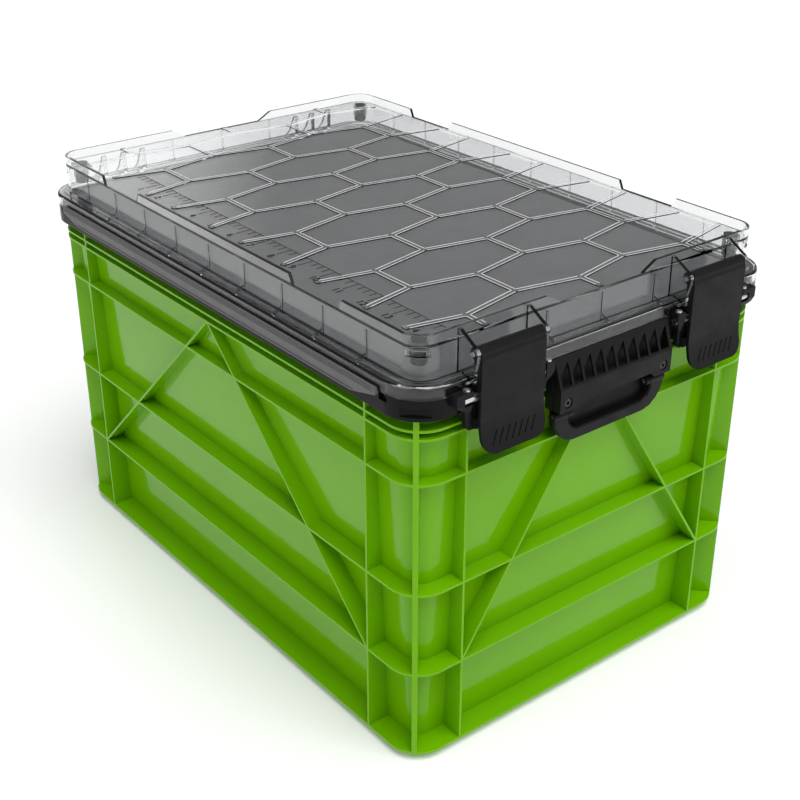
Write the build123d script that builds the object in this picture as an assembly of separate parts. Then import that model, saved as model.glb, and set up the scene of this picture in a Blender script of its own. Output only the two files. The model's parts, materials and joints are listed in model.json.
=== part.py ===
from build123d import *
import math
import os

# A stackable storage bin: a ribbed crate, a lift-off top deck that caps its rim, a clear hinged
# lid over the deck, two latches, and a folding handle at each short end.
# Millimetres. X runs across the short width, Y along the length, the latches face -Y, Z is up.
# Heights below are measured from the crate's lowest rib. The stacking foot reaches FOOT lower,
# and write() lifts every piece by FOOT, so that the bin stands on Z = 0.

# ---- crate -------------------------------------------------------------------------------
CRATE_W = 400.0
CRATE_L = 591.0
CORNER_R = 30.4
CRATE_H = 336.0
DRAFT = 2.25                  # degrees, the wall leans out towards the rim
BASE_INSET = 21.5             # rib tip to wall at the base
WALL = 2.8
FLOOR = 3.0
RIB = 2.2
FOOT = 7.5
FOOT_W = 376.4                # nests inside the lid's lip
RIB_LEVELS = (1.1, 84.1, 163.6, 266.0, 305.7, 313.2)
LONG_POST_Y = 233.8           # upright ribs of the long sides
SHORT_POST_X = 147.4          # upright ribs of the short sides
BRACE_TOP = 305.7
BRACE_FOOT = 84.1
CORNER_RIB = 4.6

# ---- deck frame --------------------------------------------------------------------------
SKIRT_OFF = 5.5               # beyond the rib tips
SKIRT_R = 35.5
SKIRT_Z0 = 324.3
SKIRT_Z1 = 342.2
RIM_OFF = 2.4
DECK_Z = 350.0
PANEL_OFF = -14.0             # edge of the deck panel
PANEL_T = 4.0
RAIL_TOP_Y = 259.0
RAIL_LOW_Y = 231.0
RAIL_Z0 = 331.8
RAIL_Z1 = 341.9
RAIL_CREST = 345.0
RAIL_CREST_OFF = 6.5
RAIL_PROUD = 9.5

# ---- lid ---------------------------------------------------------------------------------
LID_OFF = -7.3                # outer face of the lid's wall
LID_R = 18.0
LID_WALL = 2.5
LID_TOP = 381.5
LIP_TOP = 390.0
FLANGE_OFF = 5.8
FLANGE_Z0 = 342.5
FLANGE_TOP = 353.3
LID_Z0 = 350.5
HEX_PITCH_X = 61.5
HEX_PITCH_Y = 57.1
HEX_EDGE = 44.6
RIDGE_W = 5.2
RIDGE_H = 1.0

# ---- latches, hinges and handles -----------------------------------------------------------
LATCH_X = 117.0
LATCH_W = 65.4
PIVOT_Y = -306.0
PIVOT_Z = 373.6
PIN_R = 2.0
RUN_GAP = 0.05
CHEEK_T = 3.4
HINGE_Y = 311.5
HINGE_Z = 334.0
HINGE_R = 7.0
ARM_XS = (98.0, 120.5, 143.0)
ARM_T = 4.6
GRIP_PIN_Y = -302.4
GRIP_PIN_Z = 289.5
SCREW_X = 55.6
SCREW_Z = 304.0
BUFFER_X = 176.5
BUFFER_Y = 271.5
LATCH_FACE = -312.3
LATCH_T = 3.0
LATCH_LOW = 290.5
FLARE_TOP = 318.0
FLARE_OUT = 6.2
STRIKER_Y = -305.6
STRIKER_Z = 337.5
STRIKER_R = 3.0
STRIKER_HALF = 46.6
ROD_Y = -302.9
ROD_Z = 349.6
ROD_R = 1.2
KEEPER_SCREW_X = 41.7
COVER_X = 64.6
COVER_FACE = -311.6
COVER_LOW = 296.6
SLOT_COUNT = 10
SLOT_PITCH = 12.6
SLOT_W = 10.0


def write(name, shape):
    os.makedirs("parts", exist_ok=True)
    export_step(Pos(0, 0, FOOT) * shape, f"parts/{name}.step")


def outline(offset, radius):
    return RectangleRounded(CRATE_W + 2 * offset, CRATE_L + 2 * offset, radius)


def prism(sketch, z0, z1, taper=0.0):
    return extrude(Pos(0, 0, z0) * sketch, z1 - z0, taper=taper)


def band(off_out, r_out, off_in, r_in, z0, z1):
    return prism(outline(off_out, r_out), z0, z1) - prism(outline(off_in, r_in), z0 - 1, z1 + 1)


def block(x0, x1, y0, y1, z0, z1):
    return Pos((x0 + x1) / 2, (y0 + y1) / 2, (z0 + z1) / 2) * Box(x1 - x0, y1 - y0, z1 - z0)


def slab(points, x0, x1):
    """A closed (y, z) outline swept along X from x0 to x1."""
    face = Plane.YZ.offset(x0) * Polygon(*points, align=None)
    return extrude(face, x1 - x0, dir=(1, 0, 0))


def plate(points, y0, y1):
    """A closed (x, z) outline swept along Y from y0 to y1."""
    face = Plane.XZ.offset(-y1) * Polygon(*points, align=None)
    return extrude(face, y1 - y0, dir=(0, -1, 0))


def rod_x(x0, x1, y, z, radius):
    return Pos((x0 + x1) / 2, y, z) * Rot(0, 90, 0) * Cylinder(radius, x1 - x0)


def rod_y(y0, y1, x, z, radius):
    return Pos(x, (y0 + y1) / 2, z) * Rot(90, 0, 0) * Cylinder(radius, y1 - y0)


def rod_z(z0, z1, x, y, radius):
    return Pos(x, y, (z0 + z1) / 2) * Cylinder(radius, z1 - z0)


def to_rear(shape):
    """The same piece turned half a turn about Z, at the other short end."""
    return Rot(0, 0, 180) * shape


def mirror_x(shape):
    return mirror(shape, about=Plane.YZ)


# ---- crate -------------------------------------------------------------------------------
def brace(half_span, along_y):
    """The pair of sloping ribs that meet under the rim, through the whole body."""
    rise = BRACE_TOP - BRACE_FOOT
    length = math.hypot(half_span, rise)
    lean = math.degrees(math.atan2(rise, half_span))
    mid_z = (BRACE_TOP + BRACE_FOOT) / 2
    if along_y:
        one = Pos(0, half_span / 2, mid_z) * Rot(-lean, 0, 0) * Box(CRATE_W, length, RIB)
        other = mirror(one, about=Plane.XZ)
    else:
        one = Pos(half_span / 2, 0, mid_z) * Rot(0, lean, 0) * Box(length, CRATE_L, RIB)
        other = mirror(one, about=Plane.YZ)
    return one + other


def crate_body():
    base = RectangleRounded(CRATE_W - 2 * BASE_INSET, CRATE_L - 2 * BASE_INSET, 12)
    hollow = RectangleRounded(
        CRATE_W - 2 * (BASE_INSET + WALL), CRATE_L - 2 * (BASE_INSET + WALL), 10
    )
    wall = prism(base, 0, CRATE_H, -DRAFT)
    ribs = brace(LONG_POST_Y, True) + brace(SHORT_POST_X, False)
    for side in (-1, 1):
        y = side * LONG_POST_Y
        x = side * SHORT_POST_X
        ribs += block(-CRATE_W / 2, CRATE_W / 2, y - RIB / 2, y + RIB / 2, 0, CRATE_H)
        ribs += block(x - RIB / 2, x + RIB / 2, -CRATE_L / 2, CRATE_L / 2, 0, CRATE_H)
        for end in (-1, 1):
            corner = Pos(side * (CRATE_W / 2 - CORNER_R), end * (CRATE_L / 2 - CORNER_R), CRATE_H / 2)
            ribs += corner * Rot(0, 0, 45 * side * end) * Box(80, CORNER_RIB, CRATE_H)
    ribs &= prism(outline(0, CORNER_R), 0, CRATE_H)
    for level in RIB_LEVELS:
        ribs += prism(outline(0, CORNER_R), level - RIB / 2, level + RIB / 2)
    ribs += prism(outline(0, CORNER_R), CRATE_H - 2.6, CRATE_H)
    foot = RectangleRounded(FOOT_W, FOOT_W + CRATE_L - CRATE_W, 15)
    foot_gap = RectangleRounded(FOOT_W - 13, FOOT_W - 13 + CRATE_L - CRATE_W, 9)
    body = wall + ribs + prism(foot, -FOOT, 1)
    body -= prism(foot_gap, -FOOT - 1, -0.5)
    body -= prism(hollow, FLOOR, CRATE_H + 0.5, -DRAFT)
    return body


# ---- deck --------------------------------------------------------------------------------
def rim_frame():
    skirt = prism(outline(SKIRT_OFF, SKIRT_R), SKIRT_Z0, SKIRT_Z1)
    skirt = fillet(skirt.edges().group_by(Axis.Z)[0], 1.2)
    frame = skirt - prism(outline(1.0, 31.4), SKIRT_Z0 - 1, SKIRT_Z1 + 1)
    frame += band(RIM_OFF, 32.5, PANEL_OFF + 0.3, 17, DECK_Z - PANEL_T, DECK_Z)
    frame += band(RIM_OFF, 32.5, -6.0, 26, CRATE_H, DECK_Z - PANEL_T)
    frame += band(PANEL_OFF + 2.0, 18, PANEL_OFF - 5.0, 12, 343.0, DECK_Z - PANEL_T)
    frame += band(-12.2, 24.5, -14.4, 22.3, 327.0, 344.0)
    # groove that holds the lid seal
    frame -= band(-1.0, 29.4, -6.0, 24.4, DECK_Z - 2.6, DECK_Z + 1)
    # pockets beside the ends of the side rails
    for side in (-1, 1):
        for end in (-1, 1):
            x = side * (CRATE_W / 2 + SKIRT_OFF)
            y = end * (RAIL_TOP_Y + 5.4)
            frame -= Pos(x, y, 338.6) * Box(6, 9.6, 6.4)
            # finger recess in each corner of the skirt
            cx = side * (CRATE_W / 2 - CORNER_R)
            cy = end * (CRATE_L / 2 - CORNER_R)
            reach = CORNER_R + SKIRT_OFF
            aim = Pos(cx, cy, 331.5) * Rot(0, 0, 45 * side * end + (0 if side > 0 else 180))
            frame -= aim * Pos(reach, 0, 0) * Box(6, 24, 7.5)
    return frame


def side_rail(side):
    """Rail on the skirt; its crest stands up outside the lid's flange."""
    root = [
        (-RAIL_TOP_Y, RAIL_Z1),
        (-RAIL_TOP_Y, RAIL_Z1 - 3.0),
        (-RAIL_LOW_Y, RAIL_Z0),
        (RAIL_LOW_Y, RAIL_Z0),
        (RAIL_TOP_Y, RAIL_Z1 - 3.0),
        (RAIL_TOP_Y, RAIL_Z1),
    ]
    crest = [(-RAIL_TOP_Y, RAIL_CREST)] + root[1:-1] + [(RAIL_TOP_Y, RAIL_CREST)]
    x_crest = CRATE_W / 2 + RAIL_CREST_OFF
    rail = slab(root, CRATE_W / 2 + SKIRT_OFF, x_crest + 0.2)
    rail += slab(crest, x_crest, CRATE_W / 2 + RAIL_PROUD)
    return rail if side > 0 else mirror_x(rail)


def deck_panel():
    half_x = CRATE_W / 2 + PANEL_OFF
    half_y = CRATE_L / 2 + PANEL_OFF
    panel = prism(outline(PANEL_OFF, 16.7), DECK_Z - PANEL_T, DECK_Z)
    rib_z = DECK_Z - PANEL_T - 7
    for k in (-2, -1, 0, 1, 2):
        y = k * 95.0
        panel += block(-half_x + 8, half_x - 8, y - 1, y + 1, rib_z, DECK_Z - PANEL_T)
    for x in (-90.0, 90.0):
        panel += block(x - 1, x + 1, -half_y + 8, half_y - 8, rib_z, DECK_Z - PANEL_T)
    return panel


def lid_seal():
    return band(-1.3, 29.1, -5.7, 24.7, DECK_Z - 2.6, DECK_Z + 0.3)


# ---- lid ---------------------------------------------------------------------------------
def hex_ridges():
    """Raised honeycomb on the lid: upright edges in staggered rows, joined by shallow slopes."""
    slope_dy = HEX_PITCH_Y - HEX_EDGE
    slope_len = math.hypot(HEX_PITCH_X, slope_dy)
    slope_deg = math.degrees(math.atan2(slope_dy, HEX_PITCH_X))
    lines = Sketch()
    for i in range(-3, 4):
        for n in range(-6, 6):
            if (i + n) % 2 == 0:
                continue
            x = i * HEX_PITCH_X
            y = n * HEX_PITCH_Y
            lines += Pos(x, y) * SlotCenterToCenter(HEX_EDGE, RIDGE_W, rotation=90)
            for turn in (-1, 1):
                mid = Pos(x + turn * HEX_PITCH_X / 2, y + HEX_EDGE / 2 + slope_dy / 2)
                lines += mid * SlotCenterToCenter(slope_len, RIDGE_W, rotation=turn * slope_deg)
    clip = Pos(5.5, 0) * RectangleRounded(363.0, 572.0, 12)
    return prism(lines & clip, LID_TOP - 0.2, LID_TOP + RIDGE_H)


def lip_mask():
    """Spaces between the stacking lip's segments, as blocks with sloping ends."""
    z0 = LID_TOP
    z1 = LIP_TOP + 1
    gaps = []
    for side in (-1, 1):
        gap = [(124.0, z1), (128.5, z0), (191.5, z0), (196.0, z1)]
        gap = [(side * y, z) for y, z in gap]
        gaps.append(slab(gap, -CRATE_W / 2, CRATE_W / 2))
    end_gap = [(-64.0, z1), (-46.5, z0), (46.5, z0), (64.0, z1)]
    gaps.append(plate(end_gap, -CRATE_L / 2, CRATE_L / 2))
    return gaps


def cheek(x0):
    """Clear side plate that carries a latch pin, from the lip down to the flange."""
    edge = [
        (-287.0, LIP_TOP - 1.5),
        (-290.5, LIP_TOP - 1.5),
        (-309.0, PIVOT_Z + 4.3),
        (-311.2, PIVOT_Z),
        (-310.6, PIVOT_Z - 4.0),
        (-308.0, 361.0),
        (-307.0, 350.0),
        (-303.5, FLANGE_Z0),
        (-298.6, FLANGE_Z0),
        (-298.6, LID_Z0),
        (-287.0, LID_Z0),
    ]
    piece = slab(edge, x0, x0 + CHEEK_T)
    return piece + rod_x(x0, x0 + CHEEK_T, PIVOT_Y, PIVOT_Z, 5.2)


def hinge_arm(x):
    """Lid arm that reaches from the rear wall over the flange to the hinge pin."""
    edge = [
        (287.0, 375.0),
        (291.5, 375.0),
        (301.0, 357.0),
        (316.5, 342.0),
        (HINGE_Y + HINGE_R, HINGE_Z),
        (HINGE_Y - HINGE_R, HINGE_Z),
        (HINGE_Y - HINGE_R, 343.5),
        (300.0, 345.5),
        (300.0, LID_Z0 + 1),
        (287.0, LID_Z0 + 1),
    ]
    arm = slab(edge, x - ARM_T / 2, x + ARM_T / 2)
    arm += rod_x(x - ARM_T / 2, x + ARM_T / 2, HINGE_Y, HINGE_Z, HINGE_R)
    return arm - rod_x(x - ARM_T, x + ARM_T, HINGE_Y, HINGE_Z, PIN_R + RUN_GAP)


def wall_ribs():
    """Upright ribs outside the lid's wall that flare over the flange."""
    wall_x = CRATE_W / 2 + LID_OFF
    wall_y = CRATE_L / 2 + LID_OFF
    ribs = []

    def flare(face):
        return [
            (face - 1.0, 377.5),
            (face + 0.8, 377.5),
            (face + 1.2, 358.0),
            (face + 9.5, 354.6),
            (face + 11.5, FLANGE_TOP - 0.5),
            (face - 1.0, FLANGE_TOP - 0.5),
        ]

    for side in (-1, 1):
        for k in range(-4, 5):
            y = k * HEX_PITCH_Y
            edge = [(side * x, z) for x, z in flare(wall_x)]
            ribs.append(plate(edge, y - 0.8, y + 0.8))
        for x in (-HEX_PITCH_X, 0.0, HEX_PITCH_X):
            edge = [(side * y, z) for y, z in flare(wall_y)]
            ribs.append(slab(edge, x - 0.8, x + 0.8))
    return ribs


def lid_shell():
    inner_off = LID_OFF - LID_WALL
    inner_r = LID_R - LID_WALL
    shell = prism(outline(LID_OFF, LID_R), LID_Z0, LIP_TOP)
    shell = fillet(shell.edges().group_by(Axis.Z)[-1], 0.8)
    shell -= prism(outline(LID_OFF - 3.0, LID_R - 3.0), LID_TOP, LIP_TOP + 1)
    for gap in lip_mask():
        shell -= gap
    shell += hex_ridges()
    flange = prism(outline(FLANGE_OFF, 36.0), FLANGE_Z0, FLANGE_TOP)
    flange = fillet(flange.edges().group_by(Axis.Z)[-1], 2.4)
    shell += flange - prism(outline(3.0, 33.2), FLANGE_Z0 - 1, LID_Z0)
    shell += band(-1.2, 29.0, -3.4, 27.0, FLANGE_TOP - 0.5, FLANGE_TOP + 1.2)
    for rib in wall_ribs():
        shell += rib
    for x in (-LATCH_X, LATCH_X):
        for x0 in (x - LATCH_W / 2 - 0.5 - CHEEK_T, x + LATCH_W / 2 + 0.5):
            shell += cheek(x0)
        for arm_x in ARM_XS:
            shell += hinge_arm(math.copysign(arm_x, x))
    shell -= prism(outline(inner_off, inner_r), LID_Z0 - 1, LID_TOP - LID_WALL)
    for sx in (-1, 1):
        for sy in (-1, 1):
            # socket for a corner buffer, and the window in the corner wall beside it
            cx = sx * BUFFER_X
            cy = sy * BUFFER_Y
            tube = rod_z(368.0, LID_TOP - 1, cx, cy, 7.6) - rod_z(367, LID_TOP - LID_WALL, cx, cy, 5.6)
            shell += tube
            aim = Pos(sx * (CRATE_W / 2 + LID_OFF - LID_R), sy * (CRATE_L / 2 + LID_OFF - LID_R), 374.8)
            spin = 45 * sx * sy + (0 if sx > 0 else 180)
            shell -= aim * Rot(0, 0, spin) * Pos(LID_R, 0, 0) * Box(7.5, 19.0, 5.0)
    for x in (-LATCH_X, LATCH_X):
        half = LATCH_W / 2 + 0.5 + CHEEK_T + 1
        shell -= rod_x(x - half, x + half, PIVOT_Y, PIVOT_Z, PIN_R + RUN_GAP)
        shell -= rod_x(x - half, x + half, ROD_Y, ROD_Z, ROD_R)
    return shell


def corner_buffers():
    pieces = []
    for sx in (-1, 1):
        for sy in (-1, 1):
            stem = rod_z(366.0, LID_TOP - LID_WALL, sx * BUFFER_X, sy * BUFFER_Y, 5.6)
            head = rod_z(361.0, 366.0, sx * BUFFER_X, sy * BUFFER_Y, 6.6)
            pieces.append(fillet((stem + head).edges().group_by(Axis.Z)[0], 2.0))
    return Compound(pieces)


# ---- latches -----------------------------------------------------------------------------

def latch_front(z):
    """Front face of the latch plate at height z; it flares out into a finger lip."""
    down = max(0.0, (FLARE_TOP - z) / (FLARE_TOP - LATCH_LOW))
    return LATCH_FACE - FLARE_OUT * down ** 1.6


def latch(x):
    x0 = x - LATCH_W / 2
    x1 = x + LATCH_W / 2
    inner = LATCH_FACE + LATCH_T
    hub_r = 5.4
    steps = 6
    heights = [FLARE_TOP - (FLARE_TOP - LATCH_LOW) * k / steps for k in range(steps + 1)]
    outer_edge = [
        (PIVOT_Y, PIVOT_Z + hub_r),
        (PIVOT_Y - 4.2, PIVOT_Z + 3.6),
        (LATCH_FACE, PIVOT_Z - 4.0),
    ]
    outer_edge += [(latch_front(z), z) for z in heights]
    outer_edge += [(latch_front(z) + LATCH_T, z) for z in reversed(heights)]
    outer_edge += [(inner, PIVOT_Z - 4.0), (PIVOT_Y, PIVOT_Z - hub_r)]
    body = slab(outer_edge, x0, x1) + rod_x(x0, x1, PIVOT_Y, PIVOT_Z, hub_r)
    # side walls that stiffen the plate
    wall_edge = [
        (LATCH_FACE + 1, PIVOT_Z - 2.0),
        (PIVOT_Y + 1.0, PIVOT_Z - 2.0),
        (-305.4, 364.0),
        (-305.4, STRIKER_Z + STRIKER_R + 2.5),
        (LATCH_FACE + 1, STRIKER_Z + STRIKER_R + 1.0),
    ]
    body += slab(wall_edge, x0, x0 + 2.4)
    body += slab(wall_edge, x1 - 2.4, x1)
    # ribs that bear on top of the striker bar
    for dx in (-18.0, 0.0, 18.0):
        hook = [
            (inner - 1, PIVOT_Z - 5.0),
            (-305.2, PIVOT_Z - 5.0),
            (-305.2, STRIKER_Z + STRIKER_R + 2.5),
            (-306.0, STRIKER_Z + STRIKER_R + 1.0),
            (inner - 1, STRIKER_Z + STRIKER_R + 1.0),
        ]
        body += slab(hook, x + dx - 1.5, x + dx + 1.5)
    # rounded lower corners
    mask = Pos(x, 0, (LATCH_LOW + 400.0) / 2) * Rot(90, 0, 0)
    mask = mask * extrude(RectangleRounded(LATCH_W, 400.0 - LATCH_LOW, 13.0), 400, both=True)
    body &= mask
    # slanted grip grooves across the finger lip
    grip_z = 302.5
    for k in range(-3, 4):
        groove = Pos(x + k * 6.6, latch_front(grip_z), grip_z) * Rot(-14, 0, 0) * Rot(0, 28, 0)
        body -= groove * Box(1.0, 1.6, 13.0)
    return body - rod_x(x0 - 1, x1 + 1, PIVOT_Y, PIVOT_Z, PIN_R + RUN_GAP)


def latch_pin(x):
    half = LATCH_W / 2 + 0.5 + CHEEK_T + 0.8
    return rod_x(x - half, x + half, PIVOT_Y, PIVOT_Z, PIN_R)


def latch_rod(x):
    """Thin rod across the two cheeks, level with the flange."""
    return rod_x(x - 40.0, x + 40.0, ROD_Y, ROD_Z, ROD_R)


def keeper(x):
    """Bracket on the skirt that holds the striker bar and reaches down over the rim ribs."""
    skirt = -(CRATE_L / 2 + SKIRT_OFF)
    outward = math.copysign(1, x)
    far = x + outward * 54.0
    near = x - outward * 46.0
    apron = [
        (near, 341.9),
        (near, 338.0),
        (x - outward * 41.0, 329.0),
        (x - outward * 39.0, 313.0),
        (x - outward * 34.0, 309.0),
        (x + outward * 36.0, 309.0),
        (x + outward * 41.0, 313.0),
        (x + outward * 43.0, 328.0),
        (far, 335.0),
        (far, 341.9),
    ]
    body = plate(apron, skirt - 2.2, skirt)
    shoulder = [(near, 345.2)] + apron[1:-1] + [(far, 345.2)]
    wing = [
        (skirt, 341.9),
        (skirt - 1.0, 341.9),
        (skirt - 1.0, 345.2),
        (skirt - 8.6, 345.2),
        (skirt - 8.6, 336.0),
        (skirt - 5.0, 327.0),
        (skirt - 4.0, 312.0),
        (skirt, 309.5),
    ]
    for side, reach in ((outward, 54.0), (-outward, 46.0)):
        # wing outside the latch, with a fixing screw in its shoulder
        a = x + side * (LATCH_W / 2 + 4.7)
        b = x + side * reach
        body += slab(wing, min(a, b), max(a, b)) & plate(shoulder, skirt - 12, skirt + 1)
        # ear for the striker bar, inside the latch's side walls
        ear = [
            (skirt, 341.0),
            (STRIKER_Y - 1.5, 341.0),
            (STRIKER_Y - 3.2, STRIKER_Z + 1.0),
            (STRIKER_Y - 3.0, STRIKER_Z - 3.2),
            (skirt, 326.0),
        ]
        a = x + side * 26.6
        b = x + side * 29.4
        body += slab(ear, min(a, b), max(a, b))
        body -= rod_z(341.4, 346.0, x + side * KEEPER_SCREW_X, skirt - 4.8, 1.7)
    # lower web that bears on the crate
    web = [(x - 33, 318), (x - 31, 309.2), (x + 31, 309.2), (x + 33, 318)]
    body += plate(web, skirt - 4.0, skirt + 4.0)
    # window that shows the end of the striker bar
    a = x + outward * 36.0
    b = x + outward * 46.0
    body -= block(min(a, b), max(a, b), skirt - 10, skirt - 2.4, 333.4, 341.0)
    return body - rod_x(x - STRIKER_HALF, x + STRIKER_HALF, STRIKER_Y, STRIKER_Z, STRIKER_R)


def striker_bar(x):
    return rod_x(x - STRIKER_HALF, x + STRIKER_HALF, STRIKER_Y, STRIKER_Z, STRIKER_R)


def keeper_screws():
    skirt = -(CRATE_L / 2 + SKIRT_OFF)
    screws = []
    for x in (-LATCH_X, LATCH_X):
        for side in (-1, 1):
            at = (x + side * KEEPER_SCREW_X, skirt - 4.8)
            screw = rod_z(341.5, 345.2, *at, 1.6) + rod_z(345.2, 347.0, *at, 2.9)
            screws.append(screw - rod_z(345.9, 347.5, *at, 1.4))
    return Compound(screws)


# ---- rear hinges -------------------------------------------------------------------------
def hinge_base(side):
    skirt = CRATE_L / 2 + SKIRT_OFF
    xs = sorted(side * x for x in ARM_XS)
    lo = xs[0] - 12.0
    hi = xs[-1] + 12.0
    body = block(lo, hi, skirt, skirt + 2.6, SKIRT_Z0 + 0.5, 341.8)
    knuckle = [
        (skirt, 341.8),
        (HINGE_Y - 3.0, 341.6),
        (HINGE_Y + 5.5, HINGE_Z + 4.3),
        (HINGE_Y + 5.5, HINGE_Z - 4.3),
        (HINGE_Y - 2.0, HINGE_Z - 6.7),
        (skirt, SKIRT_Z0 + 0.5),
    ]
    gap = ARM_T / 2 + 0.5
    spans = [
        (lo, xs[0] - gap),
        (xs[0] + gap, xs[1] - gap),
        (xs[1] + gap, xs[2] - gap),
        (xs[2] + gap, hi),
    ]
    for a, b in spans:
        body += slab(knuckle, a, b) + rod_x(a, b, HINGE_Y, HINGE_Z, HINGE_R)
    return body - rod_x(lo - 1, hi + 1, HINGE_Y, HINGE_Z, PIN_R + RUN_GAP)


def hinge_pin(side):
    lo = side * (ARM_XS[0] - 12.6)
    hi = side * (ARM_XS[-1] + 12.6)
    return rod_x(min(lo, hi), max(lo, hi), HINGE_Y, HINGE_Z, PIN_R)


# ---- handles (front; the rear ones are the same, turned) ------------------------------------

def handle_cover():
    skirt = -(CRATE_L / 2 + SKIRT_OFF)
    outer = [
        (skirt, 341.9),
        (skirt - 1.4, 341.9),
        (COVER_FACE, 316.5),
        (COVER_FACE, COVER_LOW),
        (skirt, COVER_LOW),
    ]
    hollow = [
        (skirt + 1, 338.6),
        (skirt - 1.0, 338.6),
        (COVER_FACE + 2.4, 316.0),
        (COVER_FACE + 2.4, COVER_LOW - 1),
        (skirt + 1, COVER_LOW - 1),
    ]
    body = slab(outer, -COVER_X, COVER_X) - slab(hollow, -COVER_X + 2.2, COVER_X - 2.2)
    # cheeks that reach back beside the base, under the skirt
    for side in (-1, 1):
        cheek_x = sorted((side * 62.4, side * 66.4))
        body += block(*cheek_x, skirt - 2.0, -(CRATE_L / 2) - 0.7, COVER_LOW + 1, SKIRT_Z0 - 0.6)
    # the lower edge rises between the two screw feet
    waist = [
        (-47.0, COVER_LOW - 1),
        (-40.0, 301.0),
        (40.0, 301.0),
        (47.0, COVER_LOW - 1),
    ]
    body -= plate(waist, COVER_FACE - 2, skirt + 1)
    # a row of vents: upright slots with a slanted top, the point towards +X
    for k in range(SLOT_COUNT):
        x = (k - (SLOT_COUNT - 1) / 2) * SLOT_PITCH
        vent = [
            (x - SLOT_W / 2, 318.6),
            (x + SLOT_W / 2, 318.6),
            (x + SLOT_W / 2, 337.2),
            (x - SLOT_W / 2, 328.4),
        ]
        body -= plate(vent, COVER_FACE - 2, skirt - 0.6)
    for x in (-SCREW_X, SCREW_X):
        body += rod_y(COVER_FACE + 1, skirt - 2.3, x, SCREW_Z, 5.6)
        body -= rod_y(COVER_FACE - 1, COVER_FACE + 3.4, x, SCREW_Z, 4.5)
        body -= rod_y(COVER_FACE - 1, skirt + 1, x, SCREW_Z, 2.1)
    return body


def handle_base():
    """Back plate of the handle: hooked over the skirt, it hangs down behind the grip."""
    skirt = -(CRATE_L / 2 + SKIRT_OFF)
    back = -(CRATE_L / 2) - 0.6
    face = -298.3
    lower = [
        (-61.0, 323.9),
        (-61.0, 293.0),
        (-52.0, 283.5),
        (-40.0, 279.5),
        (40.0, 279.5),
        (52.0, 283.5),
        (61.0, 293.0),
        (61.0, 323.9),
    ]
    body = plate(lower, face, back)
    # thinner apron behind the grip
    apron = [
        (-61.0, 300.0),
        (-61.0, 285.0),
        (-52.0, 272.5),
        (-42.0, 267.6),
        (42.0, 267.6),
        (52.0, 272.5),
        (61.0, 285.0),
        (61.0, 300.0),
    ]
    body += plate(apron, face + 1.0, back)
    body += block(-61, 61, skirt - 2.2, back, 316.0, 323.9)
    body += block(-61, 61, skirt - 2.2, skirt, 316.0, 333.0)
    for side in (-1, 1):
        x0 = side * 43.0
        x1 = side * 47.4
        lug = [(face + 1, 296.0), (GRIP_PIN_Y, 293.3), (GRIP_PIN_Y, 285.7), (face + 1, 281.0)]
        body += slab(lug, min(x0, x1), max(x0, x1))
        body += rod_x(min(x0, x1), max(x0, x1), GRIP_PIN_Y, GRIP_PIN_Z, 3.8)
        body += rod_y(skirt - 2.2, back, side * SCREW_X, SCREW_Z, 5.0)
        body -= rod_y(-320, -290, side * SCREW_X, SCREW_Z, 1.6)
    return body - rod_x(-60, 60, GRIP_PIN_Y, GRIP_PIN_Z, PIN_R + RUN_GAP)


def handle_grip():
    """Bail that hangs flat against its back plate and swings up to be carried."""
    y0 = -305.8
    y1 = -299.0
    outer = [
        (-64.5, 290.5),
        (-63.5, 282.0),
        (-57.5, 272.0),
        (-49.5, 265.6),
        (-41.0, 263.5),
        (41.0, 263.5),
        (49.5, 265.6),
        (57.5, 272.0),
        (63.5, 282.0),
        (64.5, 290.5),
    ]
    inner = [
        (-48.0, 292.0),
        (-48.0, 283.5),
        (-44.5, 277.5),
        (-38.5, 273.6),
        (38.5, 273.6),
        (44.5, 277.5),
        (48.0, 283.5),
        (48.0, 292.0),
    ]
    body = plate(outer, y0, y1) - plate(inner, y0 - 1, y1 + 1)
    body = chamfer(body.edges().filter_by(Plane.XZ).group_by(Axis.Y)[0], 1.2)
    for side in (-1, 1):
        x0 = side * 48.0
        x1 = side * 64.5
        body += rod_x(min(x0, x1), max(x0, x1), GRIP_PIN_Y, GRIP_PIN_Z, 3.8)
    return body - rod_x(-66, 66, GRIP_PIN_Y, GRIP_PIN_Z, PIN_R + RUN_GAP)


def grip_pins():
    pins = []
    for side in (-1, 1):
        x0 = side * 43.2
        x1 = side * 63.0
        pins.append(rod_x(min(x0, x1), max(x0, x1), GRIP_PIN_Y, GRIP_PIN_Z, PIN_R))
    return Compound(pins)


def cover_screws():
    skirt = -(CRATE_L / 2 + SKIRT_OFF)
    screws = []
    for x in (-SCREW_X, SCREW_X):
        head = rod_y(COVER_FACE + 0.8, COVER_FACE + 3.4, x, SCREW_Z, 3.7)
        shank = rod_y(COVER_FACE + 3.0, skirt + 3.4, x, SCREW_Z, 1.6)
        socket = Pos(x, COVER_FACE + 0.7, SCREW_Z) * Rot(90, 0, 0)
        screws.append(head + shank - socket * extrude(RegularPolygon(1.7, 6), 2.6, both=True))
    return Compound(screws)


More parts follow.
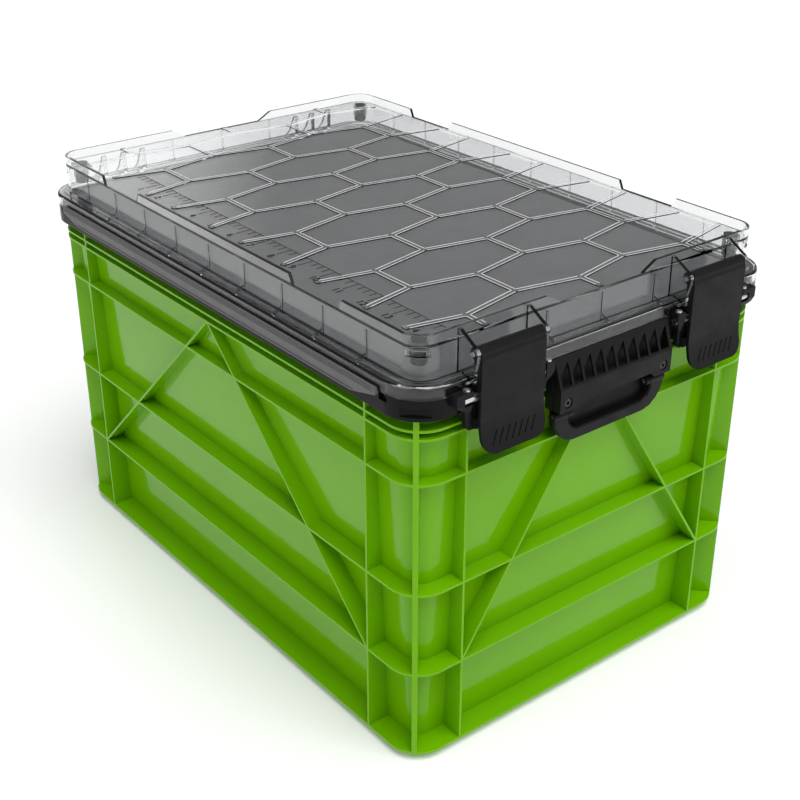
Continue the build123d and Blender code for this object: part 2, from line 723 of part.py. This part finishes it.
# ---- pieces ------------------------------------------------------------------------------
write("crate", crate_body())
write("rim_frame", rim_frame())
write("deck_panel", deck_panel())
write("lid_seal", lid_seal())
write("lid_shell", lid_shell())
write("corner_buffers", corner_buffers())
write("keeper_screws", keeper_screws())
for label, sign in (("left", -1), ("right", 1)):
    write(f"side_rail_{label}", side_rail(sign))
    write(f"latch_{label}", latch(sign * LATCH_X))
    write(f"latch_pin_{label}", latch_pin(sign * LATCH_X))
    write(f"latch_rod_{label}", latch_rod(sign * LATCH_X))
    write(f"keeper_{label}", keeper(sign * LATCH_X))
    write(f"striker_bar_{label}", striker_bar(sign * LATCH_X))
    write(f"hinge_base_{label}", hinge_base(sign))
    write(f"hinge_pin_{label}", hinge_pin(sign))
for label, place in (("front", lambda shape: shape), ("rear", to_rear)):
    write(f"handle_cover_{label}", place(handle_cover()))
    write(f"handle_base_{label}", place(handle_base()))
    write(f"handle_grip_{label}", place(handle_grip()))
    write(f"grip_pins_{label}", place(grip_pins()))
    write(f"cover_screws_{label}", place(cover_screws()))
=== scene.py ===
import json
import math

import bmesh
import bpy
from mathutils import Euler, Matrix, Vector


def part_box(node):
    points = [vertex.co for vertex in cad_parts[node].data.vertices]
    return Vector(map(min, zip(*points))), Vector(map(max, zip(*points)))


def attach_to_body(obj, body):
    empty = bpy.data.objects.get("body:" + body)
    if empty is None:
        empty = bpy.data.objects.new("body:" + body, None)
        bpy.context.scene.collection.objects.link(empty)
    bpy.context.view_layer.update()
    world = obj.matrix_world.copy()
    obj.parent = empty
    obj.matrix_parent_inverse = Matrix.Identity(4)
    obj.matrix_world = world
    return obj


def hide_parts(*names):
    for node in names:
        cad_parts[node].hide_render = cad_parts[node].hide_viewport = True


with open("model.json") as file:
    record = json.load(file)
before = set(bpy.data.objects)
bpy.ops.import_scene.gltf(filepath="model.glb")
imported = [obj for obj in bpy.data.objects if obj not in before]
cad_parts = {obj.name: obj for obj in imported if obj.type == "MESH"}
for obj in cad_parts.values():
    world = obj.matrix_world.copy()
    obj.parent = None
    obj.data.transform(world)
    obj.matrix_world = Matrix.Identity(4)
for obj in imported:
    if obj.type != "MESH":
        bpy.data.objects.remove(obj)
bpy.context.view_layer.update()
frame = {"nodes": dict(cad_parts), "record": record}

NODES = frame["nodes"]
MM = 0.001
SIDES = ("left", "right")

# ---- places taken from the frame ----------------------------------------------------------
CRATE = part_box("crate")[1]           # the crate's outer corner: half width, half length, height
LID_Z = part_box("lid_shell")[1].z     # top of the stacking lip
LIP = 8.5 * MM                       # the stacking lip stands this far above the lid's top
LID_TOP_Z = LID_Z - LIP
FLANGE_Z = LID_Z - 36.7 * MM         # top face of the flange
RIDGE = 1.0 * MM                     # height of the honeycomb's ridges
HEX_X = 61.5 * MM                    # the honeycomb repeats at these steps
HEX_Y = 57.1 * MM

# colour sockets of a mix node, which gives the same names to its other kinds
COLOR_A, COLOR_B, COLOR_OUT = 6, 7, 2


# ---- material helper ----------------------------------------------------------------------
class Shader:
    """A Principled material with helpers for the procedural detail on it."""

    NOISE_LOW, NOISE_HIGH = 0.35, 0.65   # noise outside these is clamped

    def __init__(self, name, color, roughness, **sockets):
        self.mat = bpy.data.materials.new(name)
        self.mat.use_nodes = True
        self.tree = self.mat.node_tree
        self.bsdf = self.tree.nodes["Principled BSDF"]
        self.bsdf.inputs["Base Color"].default_value = (*color, 1)
        self.bsdf.inputs["Roughness"].default_value = roughness
        for key, value in sockets.items():
            self.bsdf.inputs[key.replace("_", " ")].default_value = value
        coords = self.tree.nodes.new("ShaderNodeTexCoord")
        self.coords = coords.outputs["Object"]

    def noise(self, scale, detail, stretch=(1, 1, 1)):
        """Noise in the frame's own metres; scale is in cells per metre."""
        place = self.tree.nodes.new("ShaderNodeMapping")
        place.inputs["Scale"].default_value = stretch
        self.tree.links.new(self.coords, place.inputs["Vector"])
        tex = self.tree.nodes.new("ShaderNodeTexNoise")
        tex.inputs["Scale"].default_value = scale
        tex.inputs["Detail"].default_value = detail
        self.tree.links.new(place.outputs["Vector"], tex.inputs["Vector"])
        return tex.outputs["Fac"]

    def ramp(self, fac, low, high):
        """Noise spread over the range from low to high."""
        node = self.tree.nodes.new("ShaderNodeMapRange")
        node.inputs["From Min"].default_value = self.NOISE_LOW
        node.inputs["From Max"].default_value = self.NOISE_HIGH
        node.inputs["To Min"].default_value = low
        node.inputs["To Max"].default_value = high
        self.tree.links.new(fac, node.inputs["Value"])
        return node.outputs["Result"]

    def mottle(self, fac, dark, light):
        """Colour that drifts between two shades."""
        node = self.tree.nodes.new("ShaderNodeMix")
        node.data_type = "RGBA"
        node.inputs[COLOR_A].default_value = (*dark, 1)
        node.inputs[COLOR_B].default_value = (*light, 1)
        self.tree.links.new(self.ramp(fac, 0, 1), node.inputs["Factor"])
        self.tree.links.new(node.outputs[COLOR_OUT], self.bsdf.inputs["Base Color"])

    def rough(self, fac, low, high):
        """Roughness that drifts between two values."""
        self.tree.links.new(self.ramp(fac, low, high), self.bsdf.inputs["Roughness"])

    def relief(self, fac, depth, strength):
        """Fine bumps this deep in the surface."""
        node = self.tree.nodes.new("ShaderNodeBump")
        node.inputs["Distance"].default_value = depth
        node.inputs["Strength"].default_value = strength
        self.tree.links.new(fac, node.inputs["Height"])
        self.tree.links.new(node.outputs["Normal"], self.bsdf.inputs["Normal"])


def tint(color, factor):
    return tuple(c * factor for c in color)


# ---- materials ----------------------------------------------------------------------------
def green_plastic():
    """Glossy green of the crate."""
    base = (0.155, 0.42, 0.0005)
    s = Shader("green_plastic", base, 0.10, Specular_IOR_Level=0.24)
    s.mottle(s.noise(7, detail=3), tint(base, 0.97), tint(base, 1.03))
    s.rough(s.noise(24, detail=4), 0.08, 0.12)
    s.relief(s.noise(2400, detail=2), depth=0.04 * MM, strength=0.12)
    return s.mat


def grained_plastic(name, color, rough, grain, shine):
    """Moulded plastic with a spark-eroded grain."""
    s = Shader(name, color, sum(rough) / 2, Specular_IOR_Level=shine)
    s.mottle(s.noise(420, detail=3), tint(color, 0.94), tint(color, 1.06))
    s.rough(s.noise(60, detail=5), *rough)
    s.relief(s.noise(2600, detail=2), depth=0.08 * MM, strength=grain)
    return s.mat


def dark_plastic():
    """Near-black of the rim frame and the scale, the smoothest of the grained plastics."""
    color = (0.007, 0.007, 0.0075)
    return grained_plastic("dark_plastic", color, rough=(0.14, 0.24), grain=0.1, shine=0.09)


def deck_plastic():
    """Dull dark grey of the deck."""
    color = (0.082, 0.082, 0.083)
    return grained_plastic("deck_plastic", color, rough=(0.50, 0.64), grain=0.4, shine=0.3)


def grey_plastic():
    """Lighter grey, as on the side rails."""
    color = (0.115, 0.115, 0.118)
    return grained_plastic("grey_plastic", color, rough=(0.34, 0.46), grain=0.3, shine=0.3)


def latch_plastic():
    """Black of the latches and handles, with the strongest grain."""
    color = (0.0056, 0.0056, 0.006)
    return grained_plastic("latch_plastic", color, rough=(0.42, 0.56), grain=0.45, shine=0.15)


def rubber():
    """Black rubber of the seal and the lid's buffers."""
    s = Shader("rubber", (0.012, 0.012, 0.013), 0.62)
    s.mottle(s.noise(90, detail=4), (0.010, 0.010, 0.011), (0.018, 0.018, 0.019))
    s.rough(s.noise(140, detail=3), 0.52, 0.70)
    s.relief(s.noise(3400, detail=2), depth=0.06 * MM, strength=0.5)
    return s.mat


def steel():
    """Steel of the bars, pins and small screws, drawn along X."""
    s = Shader("steel", (0.62, 0.62, 0.64), 0.26, Metallic=1.0)
    lengthwise = s.noise(900, detail=3, stretch=(0.02, 1, 1))
    s.mottle(lengthwise, (0.55, 0.55, 0.57), (0.70, 0.70, 0.72))
    s.rough(lengthwise, 0.18, 0.34)
    s.relief(lengthwise, depth=0.03 * MM, strength=0.3)
    return s.mat


def black_screw():
    """Blackened screws of the handle covers."""
    s = Shader("black_screw", (0.03, 0.03, 0.032), 0.34, Metallic=0.7)
    s.mottle(s.noise(300, detail=3), (0.022, 0.022, 0.024), (0.045, 0.045, 0.048))
    s.rough(s.noise(500, detail=3), 0.26, 0.44)
    s.relief(s.noise(2500, detail=2), depth=0.04 * MM, strength=0.3)
    return s.mat


def clear_plastic():
    """Clear moulded lid; lamp rays pass straight through it, so what is under it is lit."""
    s = Shader("clear_plastic", (0.905, 0.915, 0.92), 0.01, IOR=1.40, Transmission_Weight=1.0)
    s.rough(s.noise(20, detail=3), 0.005, 0.02)
    nodes = s.tree.nodes
    path = nodes.new("ShaderNodeLightPath")
    through = nodes.new("ShaderNodeBsdfTransparent")
    through.inputs["Color"].default_value = (0.94, 0.95, 0.955, 1)
    mix = nodes.new("ShaderNodeMixShader")
    factor, usual, for_lamps = mix.inputs
    s.tree.links.new(path.outputs["Is Shadow Ray"], factor)
    s.tree.links.new(s.bsdf.outputs["BSDF"], usual)
    s.tree.links.new(through.outputs["BSDF"], for_lamps)
    s.tree.links.new(mix.outputs["Shader"], nodes["Material Output"].inputs["Surface"])
    return s.mat


def clear_edge():
    """Pale, rough, nearly opaque plastic for thin strips on the clear moulding's corners: painted
    highlights where the corners catch the light.
    """
    s = Shader("clear_edge", (0.92, 0.93, 0.94), 0.35, IOR=1.49, Transmission_Weight=0.10)
    s.mottle(s.noise(60, detail=3), (0.88, 0.89, 0.90), (0.96, 0.97, 0.98))
    s.rough(s.noise(80, detail=3), 0.25, 0.42)
    return s.mat


MATERIALS = {
    "green_plastic": green_plastic(),
    "dark_plastic": dark_plastic(),
    "deck_plastic": deck_plastic(),
    "grey_plastic": grey_plastic(),
    "latch_plastic": latch_plastic(),
    "clear_plastic": clear_plastic(),
    # pale look of the honeycomb's corner strips, painted highlights on the clear lid
    "clear_edge": clear_edge(),
    "rubber": rubber(),
    "steel": steel(),
    "black_screw": black_screw(),
}


def dress_cad_nodes():
    """Every CAD node takes the scene's material for its own slot in the record."""
    for entry in frame["record"]["subparts"]:
        mesh = NODES[entry["node"]].data
        mesh.materials.clear()
        mesh.materials.append(MATERIALS[entry["material_slot"]])


# ---- mesh helpers -------------------------------------------------------------------------
def attach(name, mesh, body):
    """A mesh as a piece of its own, which rides on one body."""
    obj = bpy.data.objects.new(name, mesh)
    bpy.context.scene.collection.objects.link(obj)
    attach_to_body(obj, body)
    return obj


def piece(name, bm, slot, body, look=None):
    """The piece made from bm; look is a material other than the slot's own."""
    mesh = bpy.data.meshes.new(name)
    bmesh.ops.recalc_face_normals(bm, faces=bm.faces)
    bm.to_mesh(mesh)
    bm.free()
    mesh.materials.append(MATERIALS[look or slot])
    return attach(name, mesh, body)


def add_prism(bm, outline, along):
    """A closed outline of 3-D points, swept by the vector along."""
    near = [bm.verts.new(Vector(p)) for p in outline]
    far = [bm.verts.new(Vector(p) + Vector(along)) for p in outline]
    bm.faces.new(near)
    bm.faces.new(list(reversed(far)))
    for i in range(len(near)):
        j = (i + 1) % len(near)
        bm.faces.new([near[i], near[j], far[j], far[i]])


def add_block(bm, low, high):
    """A box between two corners."""
    x0, y0, z0 = low
    x1, y1, z1 = high
    base = [(x0, y0, z0), (x1, y0, z0), (x1, y1, z0), (x0, y1, z0)]
    add_prism(bm, base, (0, 0, z1 - z0))


# ---- side rails ---------------------------------------------------------------------------
def side_rail(side):
    """Rail with a finely notched crest and a small lip along its lower edge."""
    node = f"side_rail_{side}"
    low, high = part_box(node)
    sign = -1 if side == "left" else 1
    outer = max(abs(low.x), abs(high.x))
    root = outer - 4.0 * MM          # against the skirt
    crest = outer - 3.0 * MM         # the crest stands clear of the lid's flange
    face = outer - 0.8 * MM          # bottom of the notches
    shoulder = high.z - 3.1 * MM
    step = high.z - 6.1 * MM
    slope = 28.0 * MM                # the ends run in by this much towards the lower edge
    overlap = 0.1 * MM
    bm = bmesh.new()
    for x, end, top in ((root, crest + overlap, shoulder), (crest, face, high.z)):
        outline = [
            (sign * x, low.y, top),
            (sign * x, low.y, step),
            (sign * x, low.y + slope, low.z),
            (sign * x, high.y - slope, low.z),
            (sign * x, high.y, step),
            (sign * x, high.y, top),
        ]
        add_prism(bm, outline, (sign * (end - x), 0, 0))
    lip = 1.1 * MM
    lip_root = crest + 0.2 * MM
    xs = sorted((sign * lip_root, sign * outer))
    lip_start = (xs[0], low.y + slope + lip, low.z)
    lip_end = (xs[1], high.y - slope - lip, low.z + lip)
    add_block(bm, lip_start, lip_end)
    add_teeth(bm, sign, face, outer, low, high)
    obj = piece(f"notched_rail_{side}", bm, "grey_plastic", "deck")
    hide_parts(node)


def add_teeth(bm, sign, face, outer, low, high):
    """Upright teeth all along the rail's crest, narrowing to their tips."""
    pitch = 2.4 * MM
    tooth_height = 4.2 * MM
    below_top = 0.2 * MM
    sunk = face - 0.3 * MM           # the teeth are rooted this deep in the face
    half_root = 0.75 * MM
    half_tip = 0.35 * MM
    bare_ends = 4 * MM
    z = high.z - tooth_height - below_top
    count = int((high.y - low.y - bare_ends) / pitch)
    first = -(count - 1) / 2 * pitch
    for k in range(count):
        y = first + k * pitch
        tooth = [
            (sign * sunk, y - half_root, z),
            (sign * outer, y - half_tip, z),
            (sign * outer, y + half_tip, z),
            (sign * sunk, y + half_root, z),
        ]
        add_prism(bm, tooth, (0, 0, tooth_height))


# ---- honeycomb edges, with painted highlights ---------------------------------------------
def clip(a, b, x_min, x_max, y_max):
    """The stretch of a line that lies on the lid's top, or None where too little of it does."""
    shortest = 8 * MM
    parallel = 1e-9
    t0, t1 = 0.0, 1.0
    d = b - a
    for start, step, lo, hi in ((a.x, d.x, x_min, x_max), (a.y, d.y, -y_max, y_max)):
        if abs(step) < parallel:
            if not lo <= start <= hi:
                return None
            continue
        u, v = sorted(((lo - start) / step, (hi - start) / step))
        t0, t1 = max(t0, u), min(t1, v)
    if (t1 - t0) * d.length < shortest:
        return None
    return a + d * t0, a + d * t1


def honeycomb_lines():
    """The centre lines of the honeycomb's ridges, out past the lid's top on every side."""
    edge = 44.6 * MM
    rise = HEX_Y - edge
    columns, rows = 3, 5             # counted each way from the lid's middle
    lines = []
    for i in range(-columns, columns + 1):
        for n in range(-rows, rows + 1):
            if (i + n) % 2 == 0:
                continue
            x = i * HEX_X
            y = n * HEX_Y
            lines.append(((x, y - edge / 2), (x, y + edge / 2)))
            for turn in (-1, 1):
                lines.append(((x, y + edge / 2), (x + turn * HEX_X, y + edge / 2 + rise)))
    return lines


def honeycomb_edges():
    """Thin pale strips along the two corners of each raised ridge of the lid's honeycomb, as
    painted highlights.
    """
    to_bead = 2.15 * MM              # from a ridge's middle to a bead's
    half_bead = 0.33 * MM
    off_ridge = 0.01 * MM
    bead_top = 0.17 * MM
    low = LID_TOP_Z + RIDGE + off_ridge
    high = LID_TOP_Z + RIDGE + bead_top
    x_min = 26.0 * MM - CRATE.x      # the ridges' field lies a little to the right
    x_max = CRATE.x - 15.5 * MM
    y_max = CRATE.y - 11.5 * MM
    bm = bmesh.new()
    for a, b in honeycomb_lines():
        clipped = clip(Vector(a), Vector(b), x_min, x_max, y_max)
        if clipped is None:
            continue
        start, stop = clipped
        along = (stop - start).normalized()
        across = Vector((-along.y, along.x))
        trim = along * to_bead
        for side in (-1, 1):
            p = start + trim + across * side * to_bead
            q = stop - trim + across * side * to_bead
            w = across * half_bead
            outline = [(*(p - w), low), (*(q - w), low), (*(q + w), low), (*(p + w), low)]
            add_prism(bm, outline, (0, 0, high - low))
    # the strips take a pale look of their own: painted highlights on the ridges' corners
    piece("honeycomb_edges", bm, "clear_plastic", "lid", look="clear_edge")


# ---- flange bosses ------------------------------------------------------------------------
def flange_bosses():
    """Small moulded pips on the flange's sides and front, at the feet of the wall's ribs."""
    outward = 1.6 * MM               # past the crate's own outline
    radius = 1.5 * MM
    flatten = 0.6
    z = FLANGE_Z + 0.1 * MM
    along_side = 4                   # counted each way from the middle of a long side
    places = []
    for side in (-1, 1):
        for k in range(-along_side, along_side + 1):
            places.append((side * (CRATE.x + outward), k * HEX_Y))
    for x in (-HEX_X, 0.0, HEX_X):
        places.append((x, -CRATE.y - outward))
    bm = bmesh.new()
    for x, y in places:
        at = Matrix.Translation((x, y, z)) @ Matrix.Diagonal((1, 1, flatten, 1))
        bmesh.ops.create_uvsphere(bm, u_segments=16, v_segments=8, radius=radius, matrix=at)
    obj = piece("flange_bosses", bm, "clear_plastic", "lid")
    for polygon in obj.data.polygons:
        polygon.use_smooth = True


# ---- ruler on the lid ---------------------------------------------------------------------
def ruler():
    """Raised scale along one long side: plain numbers with quarter ticks between them."""
    line_x = 50.6 * MM - CRATE.x     # in from the crate's left side
    zero_y = CRATE.y - 105.0 * MM    # it starts here and runs towards the front
    quarter = 8.0 * MM
    last = 14
    ruler_marks(line_x, zero_y, quarter, last)
    for k in range(1, last + 1):
        ruler_number(k, line_x, zero_y - 4 * k * quarter)


def ruler_marks(line_x, zero_y, quarter, last):
    """The long line and its ticks, which run on for two quarters past the last number."""
    quarters = 4 * last + 2
    long_tick = 15.9 * MM
    short_tick = 8.3 * MM
    width = 0.45 * MM
    z0 = LID_TOP_Z - 0.05 * MM
    z1 = LID_TOP_Z + 0.25 * MM
    end_y = zero_y - quarters * quarter
    bm = bmesh.new()
    add_block(bm, (line_x - width / 2, end_y, z0), (line_x + width / 2, zero_y, z1))
    for k in range(quarters + 1):
        y = zero_y - k * quarter
        length = long_tick if k % 4 == 0 and k > 0 else short_tick
        add_block(bm, (line_x - length, y - width / 2, z0), (line_x, y + width / 2, z1))
    piece("ruler_marks", bm, "dark_plastic", "lid")


def ruler_number(k, line_x, y):
    """One number beside its long tick, read from the long side."""
    half_depth = 0.12 * MM
    beyond_line = 21.6 * MM
    name = f"ruler_number_{k}"
    curve = bpy.data.curves.new(name, "FONT")
    curve.body = str(k)
    curve.size = 10.0 * MM
    curve.extrude = half_depth
    curve.align_x = "CENTER"
    curve.align_y = "CENTER"
    text = bpy.data.objects.new(f"text_{k}", curve)
    bpy.context.scene.collection.objects.link(text)
    bpy.context.view_layer.update()
    mesh = bpy.data.meshes.new_from_object(text)
    bpy.data.objects.remove(text)
    place = Matrix.Translation((line_x - beyond_line, y, LID_TOP_Z + half_depth))
    turn = Euler((0, 0, -math.pi / 2)).to_matrix().to_4x4()
    mesh.transform(place @ turn)
    mesh.materials.clear()
    mesh.materials.append(MATERIALS["dark_plastic"])
    attach(name, mesh, "lid")


# ---- stage --------------------------------------------------------------------------------
def floor():
    """A wide white floor with a faint glow of its own."""
    half_size = 14.0
    bm = bmesh.new()
    bmesh.ops.create_grid(bm, x_segments=1, y_segments=1, size=half_size)
    mesh = bpy.data.meshes.new("floor")
    bm.to_mesh(mesh)
    bm.free()
    mat = bpy.data.materials.new("floor_white")
    mat.use_nodes = True
    bsdf = mat.node_tree.nodes["Principled BSDF"]
    bsdf.inputs["Base Color"].default_value = (0.92, 0.92, 0.92, 1)
    bsdf.inputs["Roughness"].default_value = 0.8
    bsdf.inputs["Emission Color"].default_value = (1, 1, 1, 1)
    bsdf.inputs["Emission Strength"].default_value = 0.10
    mesh.materials.append(mat)
    obj = bpy.data.objects.new("floor", mesh)
    bpy.context.scene.collection.objects.link(obj)


def surroundings(dim, glow):
    """Dim studio walls with one soft bright patch low behind the object.

    Seen directly they are as white as the floor, so no horizon shows in a low view.
    """
    middle = Vector((0.33, 0.93, 0.29)).normalized()   # towards the middle of the patch
    rim = 0.972                                        # cosine of the angle where it ends
    world = bpy.data.worlds.new("studio")
    bpy.context.scene.world = world
    world.use_nodes = True
    nodes = world.node_tree.nodes
    links = world.node_tree.links
    back = nodes["Background"]
    back.inputs["Color"].default_value = (1, 1, 1, 1)
    coords = nodes.new("ShaderNodeTexCoord")
    dot = nodes.new("ShaderNodeVectorMath")
    dot.operation = "DOT_PRODUCT"
    looked_along, compared = dot.inputs[:2]
    compared.default_value = middle
    links.new(coords.outputs["Generated"], looked_along)
    spread = nodes.new("ShaderNodeMapRange")
    spread.interpolation_type = "SMOOTHSTEP"
    spread.inputs["From Min"].default_value = rim
    spread.inputs["From Max"].default_value = 1.0
    spread.inputs["To Min"].default_value = dim
    spread.inputs["To Max"].default_value = glow
    links.new(dot.outputs["Value"], spread.inputs["Value"])
    path = nodes.new("ShaderNodeLightPath")
    seen = nodes.new("ShaderNodeMix")
    seen.data_type = "FLOAT"
    seen.inputs["B"].default_value = 1.0
    links.new(path.outputs["Is Camera Ray"], seen.inputs["Factor"])
    links.new(spread.outputs["Result"], seen.inputs["A"])
    links.new(seen.outputs["Result"], back.inputs["Strength"])


def overhead_light(strength):
    """Broad soft light from above and a little towards the camera."""
    towards = Vector((-0.06, -0.40, 1.0))
    data = bpy.data.lights.new("overhead", "SUN")
    data.energy = strength
    data.angle = math.radians(50)
    obj = bpy.data.objects.new("overhead", data)
    obj.rotation_euler = towards.to_track_quat("Z", "Y").to_euler()
    bpy.context.scene.collection.objects.link(obj)


def area_light(name, place, aim, size, power):
    """A soft box that faces the point it is aimed at."""
    data = bpy.data.lights.new(name, "AREA")
    data.shape = "RECTANGLE"
    data.size, data.size_y = size
    data.energy = power
    obj = bpy.data.objects.new(name, data)
    obj.location = place
    obj.rotation_euler = (Vector(aim) - Vector(place)).to_track_quat("-Z", "Y").to_euler()
    bpy.context.scene.collection.objects.link(obj)


def stage():
    """Floor, surroundings and lights."""
    aim = (0, 0, 0.2)
    floor()
    surroundings(dim=0.30, glow=1.4)
    overhead_light(strength=2.5)
    area_light("front_box", (1.3, -2.2, 1.3), aim, size=(1.3, 1.3), power=6)
    area_light("side_box", (-2.4, 0.1, 1.1), aim, size=(1.0, 1.6), power=5)
    bpy.context.scene.view_settings.view_transform = "Standard"


def camera():
    """Looks down on the front left corner, as an object on a table is seen."""
    data = bpy.data.cameras.new("camera")
    data.lens = 61.34
    data.sensor_width = 36.0
    above_rim = 467.52 * MM
    eye = (-755.41 * MM, -979.58 * MM, CRATE.z + above_rim)
    azimuth = math.radians(-38.387)
    elevation = math.radians(27.387)
    obj = bpy.data.objects.new("camera", data)
    obj.location = eye
    obj.rotation_euler = (math.pi / 2 - elevation, 0, azimuth)
    bpy.context.scene.collection.objects.link(obj)
    bpy.context.scene.camera = obj


dress_cad_nodes()
for side in SIDES:
    side_rail(side)
honeycomb_edges()
flange_bosses()
ruler()
stage()
camera()
